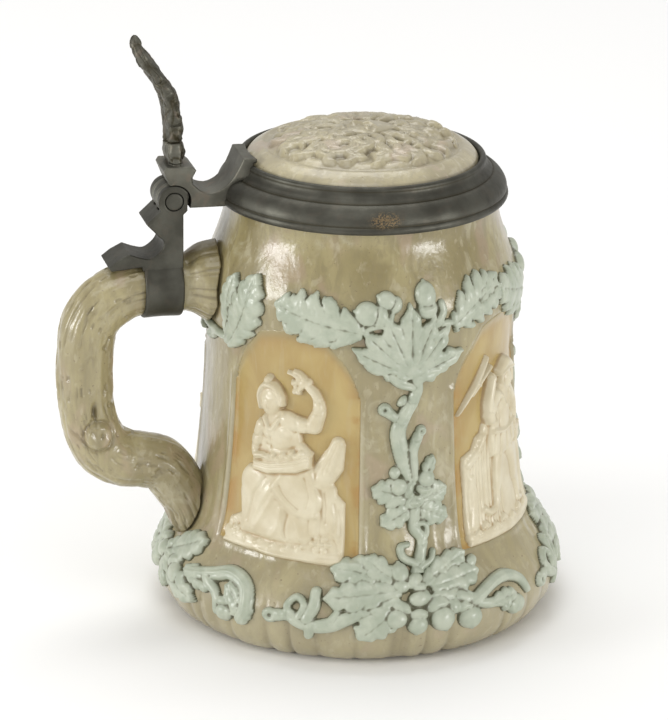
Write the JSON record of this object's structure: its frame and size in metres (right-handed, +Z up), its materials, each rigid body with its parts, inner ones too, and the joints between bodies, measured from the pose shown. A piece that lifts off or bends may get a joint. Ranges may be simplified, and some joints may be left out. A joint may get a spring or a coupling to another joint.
{
  "type": "beer stein",
  "caption": "Relief-decorated stoneware beer stein with branch-shaped handle and a hinged pewter-mounted lid opened by a thumb lift.",
  "frame": {"origin": "centre of the flat base, on the axis of the mug, at the surface it stands on", "axes": "+Z up along the axis of the mug; the handle and the lid hinge are on -X; Y is across"},
  "size_m": [0.1551, 0.1262, 0.1791],
  "materials": {
    "stoneware": "glossy grey-tan mottled stoneware glaze",
    "ochre_slip": "matt ochre slip under thin glaze",
    "cream_relief": "cream slip under satin glaze",
    "green_relief": "pale grey-green glossy glaze",
    "pewter": "dark satin oxidised pewter",
    "pin_steel": "plain drawn steel pin",
    "plaster": "matt plaster bedding"
  },
  "bodies": {
    "mug": {"mug_body": "stoneware", "handle": "stoneware", "strap_band": "pewter", "hinge_shank": "pewter", "hinge_pin": "pin_steel", "pin_plug_near": "pewter", "pin_plug_far": "pewter", "ochre_field_1": "ochre_slip", "ochre_field_2": "ochre_slip", "ochre_field_3": "ochre_slip", "ochre_field_4": "ochre_slip", "figure_1": "cream_relief", "figure_2": "cream_relief", "figure_3": "cream_relief", "figure_4": "cream_relief", "oak_stem_1": "green_relief", "oak_stem_2": "green_relief", "oak_stem_3": "green_relief", "oak_spray_upper_1": "green_relief", "oak_spray_upper_2": "green_relief", "oak_spray_upper_3": "green_relief", "oak_spray_lower_1": "green_relief", "oak_spray_lower_2": "green_relief", "oak_spray_lower_3": "green_relief", "oak_spray_lower_4": "green_relief", "handle_leaf_near": "green_relief", "handle_leaf_far": "green_relief"},
    "lid": {"lid_rim": "pewter", "lid_inlay": "stoneware", "inlay_bedding": "plaster", "lid_tang": "pewter", "thumb_lift": "pewter"}
  },
  "joints": [
    {"name": "lid_hinge", "type": "hinge", "parent": "mug", "child": "lid", "pos_m": [-0.0577, 0, 0.1297], "axis": [0, -1, 0], "range_deg": [0, 104]}
  ]
}
